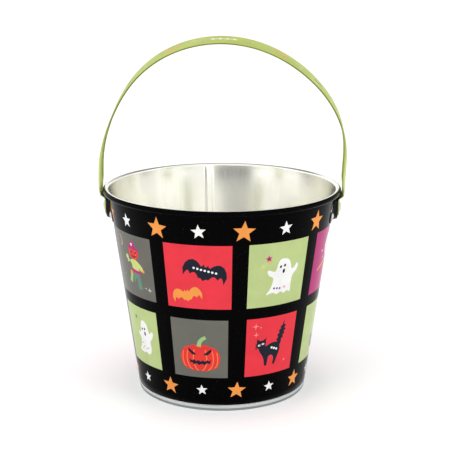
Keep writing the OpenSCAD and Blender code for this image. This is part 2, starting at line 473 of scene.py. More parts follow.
def bat(ink):
    """Bat with spread wings, 30 wide."""
    tips = [(13.8, -6.8), (9.4, -4.4), (3.4, -5.8), (0.0, -7.2)]
    half = [(0, 3.0), (0.8, 3.2), (1.4, 4.8), (2.2, 3.2), (3.2, 2.8), (4.8, 4.6)]
    half += [(7.0, 6.0), (9.4, 6.4), (12.0, 5.2), (14.0, 2.4), (15.0, -1.4), tips[0]]
    for a, b, depth in zip(tips, tips[1:], (3.4, 2.6, 0.8)):
        half += scallop(a, b, depth) + [b]
    return inked(ink, mirrored(half))


def two_bats():
    marks = inked("white", *(ellipse(2.5 * i, 0.4, 0.8, 0.8, 0, 12) for i in range(-3, 4)))
    return placed(bat("navy") + marks, 5.0, 4.6, -13) + placed(bat("orange"), -7.7, -12.6, 11, 0.7)


def pumpkin():
    """Carved pumpkin with ribs and a curled stem, 27 wide."""
    lobes = ((7.2, 6.4, 8.6), (3.4, 6.6, 9.8))
    shapes = inked("pumpkin", *(ellipse(side * x, 0, rx, ry) for x, rx, ry in lobes for side in (-1, 1)))
    shapes += inked("pumpkin", ellipse(0, 0.3, 5.4, 9.9))
    for x, rx, ry in ((10.4, 2.6, 7.0), (6.4, 4.4, 8.9), (2.2, 4.0, 9.4)):
        for side in (-1, 1):
            rib = [(side * px, py) for px, py in ellipse(x - rx * 0.4, 0, rx, ry, 0, 14, -82, 40)]
            shapes += inked("rib", stroke(rib, 0.7))
    stem = smooth_line([(-0.6, 8.4), (0.2, 11.8), (2.2, 14.2), (4.4, 15.4)], False)
    shapes += inked("stem", stroke(stem, 3.0, 0.75))
    eye = ((2.2, 2.4), (7.6, 7.0), (8.2, 5.2), (5.2, 2.2))
    grin = [(-7.6, -1.0), (-5.4, -2.2), (-4.2, -1.2), (-2.6, -2.6), (-1.2, -1.6), (0.4, -2.7), (1.8, -1.6),
            (3.4, -2.6), (4.8, -1.3), (6.2, -2.2), (7.8, -0.8), (6.6, -4.2), (4.6, -3.6), (3.2, -5.2),
            (1.2, -4.2), (-0.6, -5.4), (-2.4, -4.2), (-4.4, -5.0), (-5.6, -3.6), (-6.8, -3.9)]
    shapes += inked("navy", *([(side * x, y) for x, y in eye] for side in (-1, 1)), grin)
    return placed(shapes, 0.2, -6.8)


def three_dots(ink, x, y, pitch, radius, turn=0.0):
    """A short row of dots."""
    dots = inked(ink, *(ellipse(i * pitch, 0, radius, radius, 0, 12) for i in (-1, 0, 1)))
    return placed(dots, x, y, turn)


def ghost_and_stars():
    """Ghost with raised arms and a wavy hem, 26 tall, with stars beside it."""
    outline = smooth_line([
        (0.2, 12.2), (4.2, 10.9), (6.3, 7.4), (7.2, 4.0), (9.4, 4.6), (11.6, 7.2), (12.8, 6.0), (11.8, 2.6),
        (8.8, -0.6), (7.6, -5.6), (7.4, -12.2), (4.6, -11.4), (2.4, -12.8), (-0.6, -11.4), (-3.4, -12.8),
        (-6.6, -11.4), (-11.4, -12.4), (-8.8, -8.6), (-7.2, -3.6), (-7.4, -0.6), (-10.2, 1.0), (-11.8, 3.8),
        (-10.6, 5.0), (-7.6, 3.8), (-5.4, 4.2), (-4.2, 8.6), (-2.6, 11.4)])
    shapes = inked("white", outline)
    shapes += inked("navy", ellipse(-1.9, 6.5, 0.8, 1.05, -20, 14), ellipse(1.3, 7.1, 0.8, 1.05, -20, 14),
                    ellipse(0.7, 3.2, 0.95, 1.6, -8, 16))
    shapes += three_dots("lilac", -3.6, -8.6, 2.2, 0.8, -6)
    stars = [("magenta", star(-8.9, 11.6, 2.8, 8)), ("orange", star(-8.4, 8.6, 1.0, 20)),
             ("lime", star(-12.6, 6.6, 2.2, -6)), ("pink", star(4.7, -9.9, 1.5))]
    return placed(shapes, 2.5, -1.6) + stars


def slim_ghost():
    """Narrow ghost with one arm up, 25 tall."""
    outline = smooth_line([
        (0.2, 12.2), (3.4, 10.2), (4.6, 6.4), (5.6, 3.4), (8.2, 5.6), (9.6, 4.4), (8.0, 0.6), (5.6, -2.4),
        (5.6, -8.2), (4.2, -11.4), (1.8, -12.6), (-0.8, -11.4), (-3.6, -12.4), (-8.4, -11.0), (-6.0, -6.4),
        (-5.4, -2.0), (-7.6, 0.8), (-7.2, 3.0), (-4.8, 2.6), (-3.8, 7.6), (-2.4, 11.0)])
    shapes = inked("white", outline)
    shapes += inked("navy", ellipse(-2.4, 5.4, 0.8, 1.0, 0, 12), ellipse(0.6, 6.0, 0.8, 1.0, 0, 12),
                    ellipse(0.4, 2.4, 0.9, 1.6, 0, 14))
    dots = ((-3.6, -5.0), (-2.4, -7.6), (0.0, -8.8), (2.4, -7.8), (-4.4, -9.4))
    shapes += inked("lilac", *(ellipse(x, y, 0.5, 0.5, 0, 8) for x, y in dots))
    return placed(shapes, 4.6) + inked("grey", star(-4.2, 13.0, 1.8, 12))


def cat():
    """Arched cat with a bristling tail, 30 tall."""
    body = smooth_line([
        (-7.6, 1.2), (-4.6, 0.2), (-1.2, 1.8), (2.6, 2.2), (5.4, 1.0), (6.6, -2.2), (6.2, -5.6), (4.8, -9.4),
        (3.4, -13.6), (2.2, -14.6), (1.6, -13.0), (2.0, -10.0), (1.2, -7.8), (-0.6, -7.0), (-2.2, -8.2),
        (-2.6, -11.2), (-3.2, -14.6), (-4.8, -14.0), (-5.4, -10.4), (-6.8, -7.0), (-9.0, -3.6),
        (-9.8, -0.8)])
    ears = [(-11.6, 2.2), (-11.6, 6.2), (-8.6, 4.2)], [(-7.6, 4.4), (-4.8, 6.4), (-5.0, 2.2)]
    whiskers = ([(-11.4, y), (-13.0, y - 0.5), (-11.0, y - 1.3)] for y in (2.6, 1.0, -0.4))
    bristles = [(3.6, -0.6), (4.0, 2.8), (3.0, 3.6), (4.6, 5.6), (3.6, 6.8), (5.4, 8.6), (4.6, 10.0),
                (6.4, 11.4), (5.8, 13.0), (7.4, 13.6), (8.6, 17.4), (9.0, 13.8), (10.6, 13.6), (9.4, 11.4),
                (10.6, 10.2), (9.0, 9.0), (9.8, 7.4), (8.2, 6.4), (8.8, 4.8), (7.2, 3.6), (7.2, 1.2),
                (5.8, -1.6)]
    shapes = inked("navy", body, ellipse(-8.4, 1.6, 3.5, 3.1, 10, 22), *ears, *whiskers, bristles)
    for x, y in ((-9.7, 1.3), (-7.0, 2.1)):
        shapes += inked("white", ellipse(x, y, 0.95, 0.75, 15, 14))
        shapes += inked("navy", ellipse(x + 0.2, y, 0.28, 0.45, 0, 8))
    shapes += three_dots("white", 1.9, -2.4, 2.1, 0.85, -22)
    twinkles = ((-13.3, 15.6, 2.6), (-9.6, 14.4, 1.2), (-12.6, 9.4, 2.2), (11.5, -12.9, 1.4))
    return shapes + [sparkle(*place_and_size, "pink") for place_and_size in twinkles]


def scarecrow():
    """Straw figure with a pumpkin head, a hat and a patched shirt, 34 tall."""
    leg = [(-2.6, -4.0), (4.8, -4.4), (6.6, -16.2), (1.6, -17.0), (1.0, -8.6), (-3.2, -13.0)]
    shapes = [("stem", stroke([(-4.8, -6.0), (-7.6, -13.2)], 3.2, 1.1)),
              ("orange", ellipse(-5.4, -5.6, 1.4, 1.6)), ("teal", leg),
              ("magenta", [(-3.4, -2.0), (5.4, -3.2), (6.4, -6.0), (-2.4, -5.0)])]
    shirt = smooth_line([(-4.0, 4.0), (0.6, 5.0), (5.0, 3.4), (8.8, 0.4), (9.6, -2.0), (7.4, -2.8),
                         (4.6, -0.8), (4.8, -3.0), (-2.6, -2.0), (-3.6, 1.0), (-7.6, 4.8), (-8.8, 3.4),
                         (-7.6, 1.4)])
    shapes += inked("lime", shirt, ellipse(-8.6, 5.4, 1.8, 1.8))
    shapes += inked("orange", ellipse(9.4, -2.2, 1.4, 1.3))
    shapes += inked("pumpkin", ellipse(0.6, 9.6, 5.8, 4.9))
    shapes += inked("rib", stroke(ellipse(0.6, 9.6, 2.6, 4.6, 0, 10, -80, 80), 0.5))
    shapes += inked("magenta", [(-6.4, 12.6), (7.0, 11.6), (7.4, 13.0), (4.2, 13.6), (2.4, 17.6),
                                (-1.2, 18.6), (-3.2, 14.4), (-6.4, 14.2)])
    shapes += inked("white", star(-0.6, 15.8, 1.6, 10))
    mouth = smooth_line([(-2.4, 7.6), (0.6, 6.8), (3.8, 7.4)], False)
    eyes = [(-2.8, 10.0), (-0.6, 11.2), (-1.0, 9.2)], [(2.2, 10.6), (4.2, 10.6), (2.8, 8.8)]
    shapes += inked("navy", *eyes, stroke(mouth, 0.9))
    shapes = placed(shapes, 3.8, 0.0, 0.0, 0.97)
    shapes += inked("pink", stroke(ellipse(-13.0, 15.6, 2.4, 3.8, 20, 12, -100, 70), 0.9, 0.5))
    return shapes + [sparkle(17.0, -14.9, 2.2), sparkle(13.4, -14.2, 1.1), sparkle(-12.4, -9.4, 1.0)]


def broom_and_moon():
    """Crescent moon over a besom, 30 tall."""
    outer = ellipse(0, 0, 8.0, 8.0, 0, 24, 70, 290)
    inner = ellipse(3.6, 0, 6.2, 7.4, 0, 20, 90, 270)
    shapes = placed(inked("white", outer + inner[::-1]), 5.4, 8.6, -18)
    shapes += inked("orange", stroke([(-13.8, -6.6), (2.6, -0.6)], 1.3))
    bristle = smooth_line([(1.8, -2.0), (5.4, -3.0), (11.4, -1.8), (10.2, 0.2), (12.6, 2.2), (9.4, 2.4),
                           (8.8, 4.4), (4.0, 2.0), (2.2, 0.2)])
    shapes += inked("pink", bristle) + inked("pumpkin", stroke([(3.2, -1.8), (2.8, 1.0)], 0.8))
    return shapes + [sparkle(-9.4, 6.6, 2.0), sparkle(-6.0, 1.4, 1.2), sparkle(6.4, -12.0, 1.6)]


def spider():
    """Spider on its thread, 26 tall."""
    shapes = inked("navy", stroke([(0, 29), (0, 2)], 0.45))
    legs = [((4.6, 4.4), (7.8, 0.6)), ((5.4, 2.0), (9.0, -3.0)), ((5.2, -1.6), (8.4, -7.4)),
            ((3.8, -3.6), (5.4, -10.2))]
    for side in (-1, 1):
        for knee, foot in legs:
            leg = [(side * x, y) for x, y in ((1.4, -0.4), knee, foot)]
            shapes += inked("navy", stroke(smooth_line(leg, False, 4), 0.8, 0.6))
    shapes += inked("navy", ellipse(0, -3.2, 3.7, 4.2), ellipse(0, 2.0, 2.1, 1.9, 0, 18))
    shapes += inked("white", *(ellipse(x, 2.4, 0.55, 0.55, 0, 12) for x in (-0.8, 0.8)))
    return placed(shapes + inked("magenta", star(0, -3.6, 1.5)), 4.0, -8.4)


def candle():
    """Dripping candle in a saucer, 28 tall."""
    wax = smooth_line([(-3.6, 5.6), (0.0, 6.4), (3.6, 5.6), (4.0, 1.0), (4.9, -1.4), (4.1, -3.0),
                       (3.9, -11.0), (-3.9, -11.0), (-4.0, -4.4), (-5.0, -6.4), (-4.8, -2.0), (-4.0, 2.0)])
    flame = smooth_line([(0, 15.0), (2.5, 10.8), (1.9, 7.8), (0, 6.8), (-1.9, 7.8), (-2.5, 10.8)])
    return [("orange", ellipse(0, -11.4, 9.6, 2.8)), ("pumpkin", ellipse(0, -11.0, 6.8, 1.6)),
            ("white", wax), ("orange", flame), ("lime", ellipse(0, 9.0, 1.1, 1.9, 0, 14)),
            sparkle(-10.0, 8.4, 2.0), sparkle(9.6, 2.6, 1.4), sparkle(10.6, 12.6, 1.1)]


# Panels in order of azimuth from the seam on: ink and motif of the upper row, then of the lower
COLUMN_PITCH = 44.0
FIRST_COLUMN = -143.0
COLUMNS = [
    ("sage", slim_ghost, "red", cat),
    ("magenta", candle, "magenta", broom_and_moon),
    ("grey", scarecrow, "sage", slim_ghost),
    ("red", two_bats, "grey", pumpkin),
    ("sage", ghost_and_stars, "red", cat),
    ("magenta", broom_and_moon, "sage", spider),
    ("grey", pumpkin, "magenta", candle),
    ("red", two_bats, "grey", scarecrow),
]
# Each row's heights in millimetres, half width and shift in degrees
UPPER = {"low": 75.0, "high": 119.6, "half": 17.8, "shift": 0.0}
LOWER = {"low": 24.8, "high": 67.0, "half": 16.8, "shift": -0.6}
# Rows of stars at the foot and below the rim: height, shift in azimuth, radii of orange and white stars
STAR_ROWS = [(15.3, 0.0, 6.5, 4.0), (128.8, 1.4, 7.8, 5.2)]

# --- the printed sheet

# Width of one radian on the flat drawing, near the wall's middle radius in millimetres
DRAWING_R = 70.0
# Spacing of its loose points in degrees along and millimetres up, and its outlines' longest edge
DRAWING_STEP = 1.5
DRAWING_ROW = 4.4
ART_EDGE = 1.7


def drawn(azimuth, z):
    """A place on the wall as a point on the flat drawing."""
    return (math.radians(azimuth) * DRAWING_R, z)


def on_wall(outline, azimuth, z):
    """A motif's outline, in millimetres about a point on the wall, as points on the drawing."""
    out = []
    for x, y in outline:
        height = z + y * math.cos(WALL_TILT)
        out.append(drawn(azimuth + math.degrees(x * MM / wall_r(height * MM)), height))
    return out


def panel_outline(middle, row):
    left, right = middle + row["shift"] - row["half"], middle + row["shift"] + row["half"]
    low, high = row["low"], row["high"]
    return [drawn(left, low), drawn(right, low), drawn(right, high), drawn(left, high)]


def artwork():
    """Every printed shape in the order it is laid down, as [(ink, outline on the drawing)]."""
    shapes = []
    for i, (upper_ink, upper_motif, lower_ink, lower_motif) in enumerate(COLUMNS):
        middle = FIRST_COLUMN + COLUMN_PITCH * i
        for row, ink, motif in ((UPPER, upper_ink, upper_motif), (LOWER, lower_ink, lower_motif)):
            shapes.append((ink, panel_outline(middle, row)))
            z = (row["low"] + row["high"]) / 2
            for motif_ink, outline in motif():
                shapes.append((motif_ink, on_wall(outline, middle + row["shift"], z)))
        for z, shift, orange_r, white_r in STAR_ROWS:
            shapes.append(("white", on_wall(star(0, 0, white_r, 4), middle + shift, z)))
            if i + 1 < len(COLUMNS):
                between_columns = middle + COLUMN_PITCH / 2 + shift
                shapes.append(("orange", on_wall(star(0, 0, orange_r, -3), between_columns, z)))
    return shapes


def with_short_edges(outline, longest):
    """The same outline with extra points, so that it can bend round the wall."""
    out = []
    for i, (x, y) in enumerate(outline):
        nx, ny = outline[(i + 1) % len(outline)]
        parts = max(1, math.ceil(math.hypot(nx - x, ny - y) / longest))
        out += [(x + (nx - x) * k / parts, y + (ny - y) * k / parts) for k in range(parts)]
    return out


def inside(points, outline):
    """Which of the points lie inside a closed outline."""
    x, y = points[:, 0], points[:, 1]
    shape = np.array(outline)
    hit = np.zeros(len(points), bool)
    (left, bottom), (right, top) = shape.min(axis=0), shape.max(axis=0)
    near = (x >= left) & (x <= right) & (y >= bottom) & (y <= top)
    if not near.any():
        return hit
    px, py = x[near], y[near]
    odd = np.zeros(len(px), bool)
    for (ax, ay), (bx, by) in zip(shape, np.roll(shape, -1, axis=0)):
        if ay == by:
            continue
        crosses = (ay > py) != (by > py)
        odd ^= crosses & (px < (bx - ax) * (py - ay) / (by - ay) + ax)
    hit[near] = odd
    return hit


def triangulated(shapes, loose_points, frame_outline, longest):
    """Triangles of the flat drawing that follow every shape's outline, with the ink on each."""
    points, edges = list(loose_points), []
    for outline in [frame_outline] + [with_short_edges(outline, longest) for _, outline in shapes]:
        first = len(points)
        points += outline
        edges += [(first + i, first + (i + 1) % len(outline)) for i in range(len(outline))]
    verts, _, faces, _, _, _ = delaunay_2d_cdt([Vector(p) for p in points], edges, [], 0, 1e-4, False)
    flat = np.array([(v.x, v.y) for v in verts])
    middles = np.array([flat[list(f)].mean(axis=0) for f in faces])
    ink = np.full(len(faces), -1)
    for i, (_, outline) in enumerate(shapes):
        ink[inside(middles, outline)] = i
    return flat, faces, [shapes[i][0] if i >= 0 else None for i in ink]


WALL_STEPS, WALL_ROWS = 240, 30
# Degrees to each side of the lock seam with points of their own, on the wall and on the drawing
SEAM_ZONE = 2.4
SEAM_ZONE_DRAWN = 3.0


def wall_azimuths():
    """Even azimuths round the wall from the seam, with close ones over the seam's edges."""
    extra = [side * a for a in (0.6, 1.0, 1.25, 1.5, 1.75, 2.0, 2.25) for side in (-1, 1)]
    away = [abs(turned(a, 0)) for a in even_azimuths(WALL_STEPS)]
    even = [turned(a, 0) for a, d in zip(even_azimuths(WALL_STEPS), away) if d < 1e-9 or d > SEAM_ZONE]
    return [SEAM_AZIMUTH + a for a in sorted({round(a % 360, 4) for a in even + extra})]


def sheet_wave(azimuth, z):
    """The slight unevenness of hand-fed tin, fading out at the stiff rim and foot."""
    a = math.radians(azimuth)
    free = math.sin(math.pi * min(max((z - NECK_Z) / (BEAD_Z - NECK_Z), 0.0), 1.0))
    wave = math.sin(3 * a + 0.7) * 0.05 + math.sin(5 * a + 60 * z + 2.0) * 0.035
    wave += math.sin(9 * a - 45 * z) * 0.018
    return wave * free * MM


def seam_profile(azimuth, z):
    """1 over the lock seam, falling to 0 at its edges."""
    distance = abs(math.radians(turned(azimuth, SEAM_AZIMUTH))) * wall_r(z)
    ends = smoothstep(NECK_Z, NECK_Z + 1.5 * MM, z)
    ends *= 1 - smoothstep(BEAD_Z - 3.5 * MM, BEAD_Z - 2 * MM, z)
    half_slope = SEAM_SLOPE / 2
    return (1 - smoothstep(SEAM_HALF_W - half_slope, SEAM_HALF_W + half_slope, distance)) * ends


def outer_point(azimuth, z):
    """A point on the wall's printed side."""
    groove = seam_profile(azimuth, z) * SEAM_GROOVE
    r = wall_r(z) + sheet_wave(azimuth, z) - groove
    a = math.radians(azimuth)
    return (r * math.sin(a), -r * math.cos(a), z)


def printed_band(azimuths):
    """The wall's outer side between foot and rim: vertices, triangles and inks."""
    start, end = azimuths[0], azimuths[0] + 360
    low, high = BAND_BOTTOM / MM, BAND_TOP / MM
    rows = [low + (high - low) * i / WALL_ROWS for i in range(WALL_ROWS + 1)]
    border = [drawn(a, low) for a in azimuths] + [drawn(end, z) for z in rows[:-1]]
    border += [drawn(a, high) for a in [end] + azimuths[:0:-1]] + [drawn(start, z) for z in rows[:0:-1]]
    across, up = int(360 / DRAWING_STEP), int((high - low) / DRAWING_ROW)
    loose = [drawn(start + DRAWING_STEP * (i + (0.5 if j % 2 else 0.0)), low + DRAWING_ROW * j)
             for j in range(1, up) for i in range(2, across - 2)]
    by_seam = [a for a in azimuths if abs(turned(a, SEAM_AZIMUTH)) < SEAM_ZONE_DRAWN and a > start]
    loose += [drawn(a, z) for a in by_seam for z in rows[1:-1]]
    flat, faces, inks = triangulated(artwork(), loose, border, ART_EDGE)
    verts = [outer_point(math.degrees(x / DRAWING_R), y * MM) for x, y in flat]
    return verts, faces, inks


def shell_profile():
    """The rest of the wall's section, from the printed band's top round the bead and down the inside."""
    centre = (BEAD_CENTRE_R, BEAD_Z)
    bore = BEAD_R - SHEET
    points = [(wall_r(BAND_TOP), BAND_TOP)]
    points += arc(centre, bore, math.pi, CURL_END - 2 * math.pi, 22)
    kinds = ["black"] * len(points)
    flank = arc(centre, BEAD_R, CURL_END - 2 * math.pi, LACQUER_EDGE, 18)
    points += flank
    kinds += ["black"] * (len(flank) - 1) + ["tin_inside"]
    points += arc(centre, BEAD_R, LACQUER_EDGE, math.pi, 14)[1:]
    heights = [BEAD_Z + (NECK_Z - BEAD_Z) * i / WALL_ROWS for i in range(1, WALL_ROWS + 1)]
    points += [(wall_r(z) - SHEET, z) for z in heights]
    lip_top = CHIME_H + 0.2 * MM
    points += [(LIP_R - SHEET, lip_top), (LIP_R - SHEET, SHEET), (LIP_R, SHEET), (LIP_R, lip_top)]
    points.append((wall_r(BAND_BOTTOM), BAND_BOTTOM))
    kinds += ["tin_inside"] * (len(points) - len(kinds))
    return points, kinds


def make_pail_wall():
    azimuths = wall_azimuths()
    profile, kinds = shell_profile()
    bare = [kind == "tin_inside" for kind in kinds]
    inner_from = next(i for i, (r, z) in enumerate(profile) if bare[i] and z <= BEAD_Z - 1e-6)
    inner_to = len(profile) - 5

    def offset(i, azimuth, z):
        if i == 0 or i == len(profile) - 1:
            return sheet_wave(azimuth, z) - seam_profile(azimuth, z) * SEAM_GROOVE
        if inner_from <= i < inner_to:
            return sheet_wave(azimuth, z) - seam_profile(azimuth, z) * SEAM_RISE
        return 0.0

    verts, faces = lathe(profile, azimuths, offset)
    names = ["tin_inside"] + list(INKS)
    indices = [names.index(kinds[n % (len(profile) - 1)]) for n in range(len(faces))]
    band_verts, band_faces, inks = printed_band(azimuths)
    shift = len(verts)
    verts += band_verts
    faces += [tuple(shift + i for i in f) for f in band_faces]
    indices += [names.index(ink or "black") for ink in inks]
    wall = make_object("printed_pail_wall", verts, faces, names, indices, weld=2e-7)
    sharpen(wall, 50)
    return attach(wall, "pail", "printed_tin", "pail_wall")


# --- base, ears and rivets

# The base's stiffening ring rises between the first two radii and falls between the last two
RING_RADII = (38.6 * MM, 40.4 * MM, 42.6 * MM, 44.4 * MM)
RING_H = 0.8 * MM
PANEL_R = LEG_R - 0.6 * MM
PANEL_STEPS = 60
BASE_CROWN = 0.25 * MM
# Height up to which the foot seam is darkened as painted shade
FOOT_SHADE_HIGH = 1.1 * MM


def make_base():
    """Pressed base with a stiffening ring and a rounded double seam, with painted shade darkening the bottom
    of its foot.
    """
    lift, t = PANEL_LIFT, SHEET
    top = []
    for i in range(PANEL_STEPS + 1):
        r = PANEL_R * i / PANEL_STEPS
        ring = RING_H * (smoothstep(*RING_RADII[:2], r) - smoothstep(*RING_RADII[2:], r))
        top.append((r, lift + ring + BASE_CROWN * (1 - (r / LEG_R) ** 2)))
    fold = 0.5 * MM
    profile = top + arc((LEG_R - fold, lift - fold), fold, math.pi / 2, 0, 5)
    foot = 0.35 * MM
    profile += arc((LEG_R + foot, foot), foot, math.pi, 1.5 * math.pi, 5)
    profile += arc((BASE_R - foot, foot), foot, -math.pi / 2, 0, 6)
    profile += [(BASE_R, CHIME_H * 0.5)]
    lid = 0.28 * MM
    profile += arc((BASE_R - lid, CHIME_H - lid), lid, 0, math.pi / 2, 5)
    profile += [(BASE_R - t, CHIME_H - 0.05 * MM), (BASE_R - t, t), (LEG_R + t, t), (LEG_R + t, lift)]
    profile += arc((LEG_R - fold, lift - fold + t), fold + 0.1 * MM, math.pi / 6, math.pi / 2, 4)
    profile += [(r, z + t) for r, z in reversed(top)]
    verts, faces = lathe(profile, even_azimuths(192))
    middles = [sum((Vector(verts[i]) for i in face), Vector()) / len(face) for face in faces]
    # Painted shade: faces of the foot seam's lowest band take the darker tin
    wear_and_painted_shade = [int(middle.xy.length > LEG_R and middle.z < FOOT_SHADE_HIGH) for middle in middles]
    base = make_object("base_with_seam", verts, faces, ["tin_base", "tin_foot_painted_shade"], wear_and_painted_shade, weld=1e-6)
    sharpen(base, 50)
    return attach(base, "pail", "bare_tin", "base_disc")


EAR_T = 0.6 * MM
EAR_GAP = 0.05 * MM
BOSS_R = 9.5 * MM
FLANGE_DROP = 4 * MM
FLANGE_HALF_L = 13.5 * MM
FLANGE_HALF_H = 5 * MM
EAR_RIVET_Y = 13.6 * MM
BOSS_RIM = 0.7 * MM
EAR_FILLET = 1.2 * MM
EAR_EDGE_ROUND = 0.15 * MM
EAR_EDGE_W = 0.5 * MM
# Radii between which the ear steps down from its boss to its flange
EAR_STEP = (0.87 * BOSS_R, 1.03 * BOSS_R)
# Head diameter and height, shank diameter, then the tail's diameter and height
SMALL_RIVET = (5.0 * MM, 1.1 * MM, 2.6 * MM, 4.4 * MM, 0.8 * MM)
PIVOT_RIVET = (8.6 * MM, 1.7 * MM, 4.0 * MM, 6.6 * MM, 0.9 * MM)
RIVET_UNDERCUT = 0.05 * MM
RIVET_NOSE = 0.25 * MM


def ear_reach(angle):
    """How far the ear's outline is from the pivot in a direction, 0 along +Y and 90 up."""
    c, s = math.cos(angle), math.sin(angle)
    low, high = 0.0, 40 * MM
    for _ in range(40):
        r = (low + high) / 2
        y, z = r * c, r * s + FLANGE_DROP
        out = math.hypot(max(abs(y) - FLANGE_HALF_L, 0.0), z) - FLANGE_HALF_H
        low, high = (r, high) if out < 0 else (low, r)
    boss = BOSS_R + BOSS_RIM
    h = max(EAR_FILLET - abs(low - boss), 0.0) / EAR_FILLET
    return max(low, boss) + h * h * EAR_FILLET / 4


def make_ear(name, side, node):
    """Pressed lug: a round flat boss on a flange that follows the wall."""
    around, rings = 96, [0.0, 0.3, 0.6, 0.8, 0.86, 0.89, 0.92, 0.95, 0.98, 1.01, 1.04]
    spread = 8
    verts = []
    for depth in (0.0, EAR_T - EAR_GAP):
        for k in range(around):
            angle = 2 * math.pi * k / around
            reach = ear_reach(angle)
            radii = [f * BOSS_R for f in rings]
            radii += [radii[-1] + (reach - radii[-1]) * i / spread for i in range(1, spread + 1)]
            for r in radii:
                y, z = r * math.cos(angle), PIVOT_Z + r * math.sin(angle)
                skin = math.sqrt(wall_r(z) ** 2 - y * y) + EAR_GAP + EAR_T
                lift = 1 - smoothstep(*EAR_STEP, r)
                edge = EAR_EDGE_ROUND * smoothstep(reach - EAR_EDGE_W, reach, r) if depth == 0 else 0.0
                x = skin + (BOSS_X - skin) * lift - depth - edge
                verts.append((side * x, y, z))
    rows = len(rings) + spread
    layer = around * rows
    faces = grid_faces(around, rows) + grid_faces(around, rows, layer)
    for k in range(around):
        a, b = k * rows + rows - 1, ((k + 1) % around) * rows + rows - 1
        faces.append((a, b, b + layer, a + layer))
    ear = make_object(name, verts, faces, ["ear_black"], weld=1e-6)
    sharpen(ear, 55)
    return attach(ear, "pail", "ear_lacquer", node)


def rivet_mesh(sizes, grip):
    """A rivet from the top of its dome to the end of its tail, with head and tail apart by grip."""
    head_d, head_h, shank_d, tail_d, tail_h = sizes
    ball = ((head_d / 2) ** 2 + head_h ** 2) / (2 * head_h)
    half = math.asin(min(head_d / 2 / ball, 1.0))
    dome = [half * i / 10 for i in range(11)]
    profile = [(ball * math.sin(a), head_h - ball + ball * math.cos(a)) for a in dome]
    profile += [(head_d / 2 - RIVET_UNDERCUT, 0.0), (shank_d / 2, 0.0), (shank_d / 2, -grip)]
    nose, end = min(RIVET_NOSE, tail_h / 2), -grip - tail_h
    profile += [(tail_d / 2 - nose, -grip), (tail_d / 2, -grip - nose), (tail_d / 2, end + nose),
                (tail_d / 2 - nose, end), (tail_d / 4, -grip - tail_h * 0.9), (0.0, -grip - tail_h * 0.85)]
    return lathe(profile, even_azimuths(40))


def make_rivets(name, places, sizes, grip, node):
    """One object of one or more rivets, each at a matrix whose +Z points out of the pail."""
    verts, faces = [], []
    for place in places:
        part_verts, part_faces = rivet_mesh(sizes, grip)
        shift = len(verts)
        verts += [place @ Vector(v) for v in part_verts]
        faces += [tuple(shift + i for i in f) for f in part_faces]
    rivets = make_object(name, verts, faces, ["rivet_steel"], weld=1e-6)
    sharpen(rivets, 45)
    return attach(rivets, "pail", "rivet_steel", node)


def ear_rivet_place(side, end):
    """Where an ear rivet's head sits on the flange, +Z along the wall's outward normal."""
    z = PIVOT_Z - FLANGE_DROP
    azimuth = math.asin(EAR_RIVET_Y / wall_r(z)) * end
    turn = Matrix.Rotation(azimuth if side > 0 else math.pi + azimuth, 4, "Z")
    out = Matrix.Translation((wall_r(z), 0, z)) @ Matrix.Rotation(math.pi / 2 + WALL_TILT, 4, "Y")
    return turn @ out @ Matrix.Translation((0, 0, EAR_GAP + EAR_T))


TONGUE_GAP = 0.15 * MM
TONGUE_T = 0.9 * MM


def pivot_place(side):
    face = BOSS_X + 2 * TONGUE_GAP + TONGUE_T
    turn = Matrix.Rotation(math.pi / 2 * side, 4, "Y")
    return Matrix.Translation((side * face, 0, PIVOT_Z)) @ turn


def make_fittings():
    for side, word in ((-1, "left"), (1, "right")):
        make_ear(f"{word}_pressed_ear", side, f"{word}_ear")
        places = [ear_rivet_place(side, end) for end in (-1, 1)]
        grip = EAR_GAP + EAR_T + SHEET + 0.1 * MM
        make_rivets(f"{word}_small_rivets", places, SMALL_RIVET, grip, f"{word}_ear_rivets")
        grip = 2 * TONGUE_GAP + TONGUE_T + EAR_T
        make_rivets(f"{word}_pivot_head", [pivot_place(side)], PIVOT_RIVET, grip, f"{word}_pivot_rivet")


# --- strap handle

HANDLE_LEAN = math.radians(7.1)
# Just inside the CAD strap's outer face
STRAP_X = 84.39 * MM
STRAP_HALF_W = 10.5 * MM
LEG_H = 29.8 * MM
ARCH_H = 87.7 * MM
APEX = LEG_H + ARCH_H
ARCH_STEPS = 150
STRAP_SET = 2.6 * MM
FACE_DEPTH = 0.1 * MM
FACE_CROWN = 0.04 * MM
PRINT_LIFT = 0.04 * MM
WEB_T = 0.5 * MM
HEM_T = 1.3 * MM
HEM_W = 1.8 * MM
END_R = 6.5 * MM
END_MIN_HALF_W = 0.6 * MM
TONGUE_MID = 3.5 * MM
# Heights above the pivot: the step outwards, the start of the hems, the shoulder and full hems
JOGGLE_LOW, JOGGLE_HIGH = 7 * MM, 9.3 * MM
HEM_START = 13 * MM
SHOULDER = 16 * MM
FULL_HEM = 20 * MM
TONGUE_X = BOSS_X + TONGUE_GAP + TONGUE_T
# Part of the hem's depth that keeps the outer face's lacquer; deeper, the hem's outer rounding takes the hem
# tone, painted shade over the arch and painted light on the legs
EDGE_FROM = 0.3


def strap_set(s):
    """Sideways set of the hand-bent strap at a height above the pivot."""
    return STRAP_SET * math.sin(math.pi * max(s - SHOULDER, 0.0) / (APEX - SHOULDER)) ** 2


